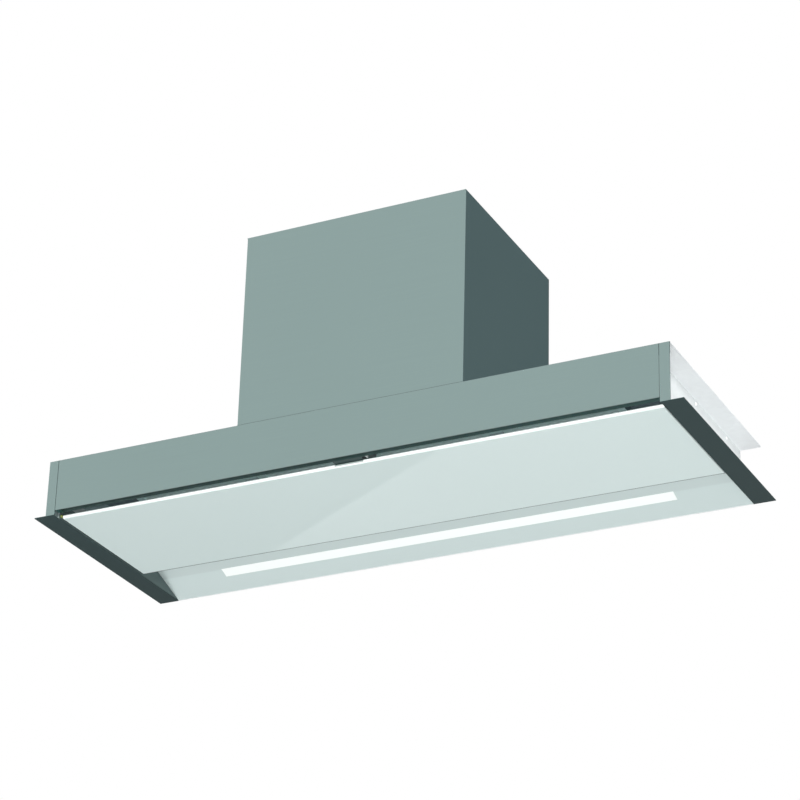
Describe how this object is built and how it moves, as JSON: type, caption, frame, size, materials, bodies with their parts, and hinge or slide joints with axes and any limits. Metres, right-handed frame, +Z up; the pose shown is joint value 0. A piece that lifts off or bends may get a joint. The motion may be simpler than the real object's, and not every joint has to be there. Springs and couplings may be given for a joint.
{
  "type": "built-in range hood",
  "caption": "Wide built-in canopy hood with a hinged white glass panel, perimeter air slot, sloping light shelf and a plain motor box on top.",
  "frame": {"origin": "centred under the canopy, level with the underside of the side flanges", "axes": "+X along the width to the cook's right, +Y towards the back wall, +Z up"},
  "size_m": [0.9, 0.32, 0.378],
  "materials": {
    "stainless_steel": "fine brushed stainless steel",
    "zinc_sheet": "pale zinc-coated sheet",
    "white_enamel": "satin white",
    "white_glass": "back-painted white, polished edges",
    "opal_cover": "opal, lit",
    "aluminium": "satin",
    "filter_mesh": "layered expanded mesh",
    "dark_plastic": "fine grained",
    "light_plastic": "clear white",
    "circuit_board": "solder mask",
    "brass": "turned",
    "grey_plastic": "moulded",
    "impeller_plastic": "moulded",
    "motor_casting": "cast",
    "bright_steel": "turned and plated",
    "damper_rubber": "soft"
  },
  "bodies": {
    "hood": {"back_wall": "zinc_sheet", "baffle_plate": "zinc_sheet", "blower_motor": "motor_casting", "blower_rails": "zinc_sheet", "cable_gland": "grey_plastic", "capacitor": "motor_casting", "collar_screws": "bright_steel", "control_board": "circuit_board", "control_pod": "dark_plastic", "duct_collar": "zinc_sheet", "electronics_box": "grey_plastic", "filter_frame_left": "aluminium", "filter_frame_right": "aluminium", "filter_ledge": "zinc_sheet", "filter_mesh_left": "filter_mesh", "filter_mesh_right": "filter_mesh", "flap_pin": "zinc_sheet", "front_fascia": "stainless_steel", "hinge_brackets": "zinc_sheet", "hinge_pins": "bright_steel", "housing_back": "stainless_steel", "housing_lid": "stainless_steel", "housing_screws": "bright_steel", "housing_wrap": "stainless_steel", "indicator_lens": "light_plastic", "inlet_rings": "zinc_sheet", "joining_angles": "zinc_sheet", "light_board": "circuit_board", "light_cover": "opal_cover", "light_driver": "aluminium", "light_profile": "aluminium", "light_shelf": "white_enamel", "locating_studs": "brass", "motor_bearings": "bright_steel", "motor_bracket": "zinc_sheet", "motor_dampers": "damper_rubber", "motor_screws": "bright_steel", "outlet_adapter": "grey_plastic", "panel_magnets": "dark_plastic", "scroll_side_left": "zinc_sheet", "scroll_side_right": "zinc_sheet", "scroll_wrap": "zinc_sheet", "side_rail_left": "stainless_steel", "side_rail_right": "stainless_steel", "side_wall_left": "zinc_sheet", "side_wall_right": "zinc_sheet", "terminal_block": "grey_plastic", "top_plate": "zinc_sheet", "wall_screws": "bright_steel"},
    "panel": {"glass_panel": "white_glass", "panel_tray": "zinc_sheet", "hinge_arms": "zinc_sheet", "strike_plates": "zinc_sheet"},
    "fan": {"impeller": "impeller_plastic", "motor_shaft": "bright_steel"},
    "front_flap": {"flap_front": "zinc_sheet"},
    "rear_flap": {"flap_rear": "zinc_sheet"},
    "left_latch": {"filter_latch_left": "aluminium"},
    "right_latch": {"filter_latch_right": "aluminium"},
    "button": {"control_button": "dark_plastic"}
  },
  "joints": [
    {"name": "panel_hinge", "type": "hinge", "parent": "hood", "child": "panel", "pos_m": [0, 0.054, 0.0145], "axis": [1, 0, 0], "range_deg": [0, 90]},
    {"name": "fan_spin", "type": "hinge", "parent": "hood", "child": "fan", "pos_m": [0.005, -0.045, 0.195], "axis": [1, 0, 0], "continuous": true},
    {"name": "front_flap_hinge", "type": "hinge", "parent": "hood", "child": "front_flap", "pos_m": [0.005, 0.012, 0.3534], "axis": [-1, 0, 0], "range_deg": [0, 75]},
    {"name": "rear_flap_hinge", "type": "hinge", "parent": "hood", "child": "rear_flap", "pos_m": [0.005, 0.012, 0.3534], "axis": [1, 0, 0], "range_deg": [0, 75]},
    {"name": "left_latch_slide", "type": "slide", "parent": "hood", "child": "left_latch", "axis": [0, 1, 0], "range_m": [0, 0.0044], "stiffness_N_per_m": 400, "springref_m": -0.003},
    {"name": "right_latch_slide", "type": "slide", "parent": "hood", "child": "right_latch", "axis": [0, 1, 0], "range_m": [0, 0.0044], "stiffness_N_per_m": 400, "springref_m": -0.003},
    {"name": "button_press", "type": "slide", "parent": "hood", "child": "button", "axis": [0, 0, 1], "range_m": [0, 0.0009], "stiffness_N_per_m": 1200, "springref_m": -0.0006}
  ]
}
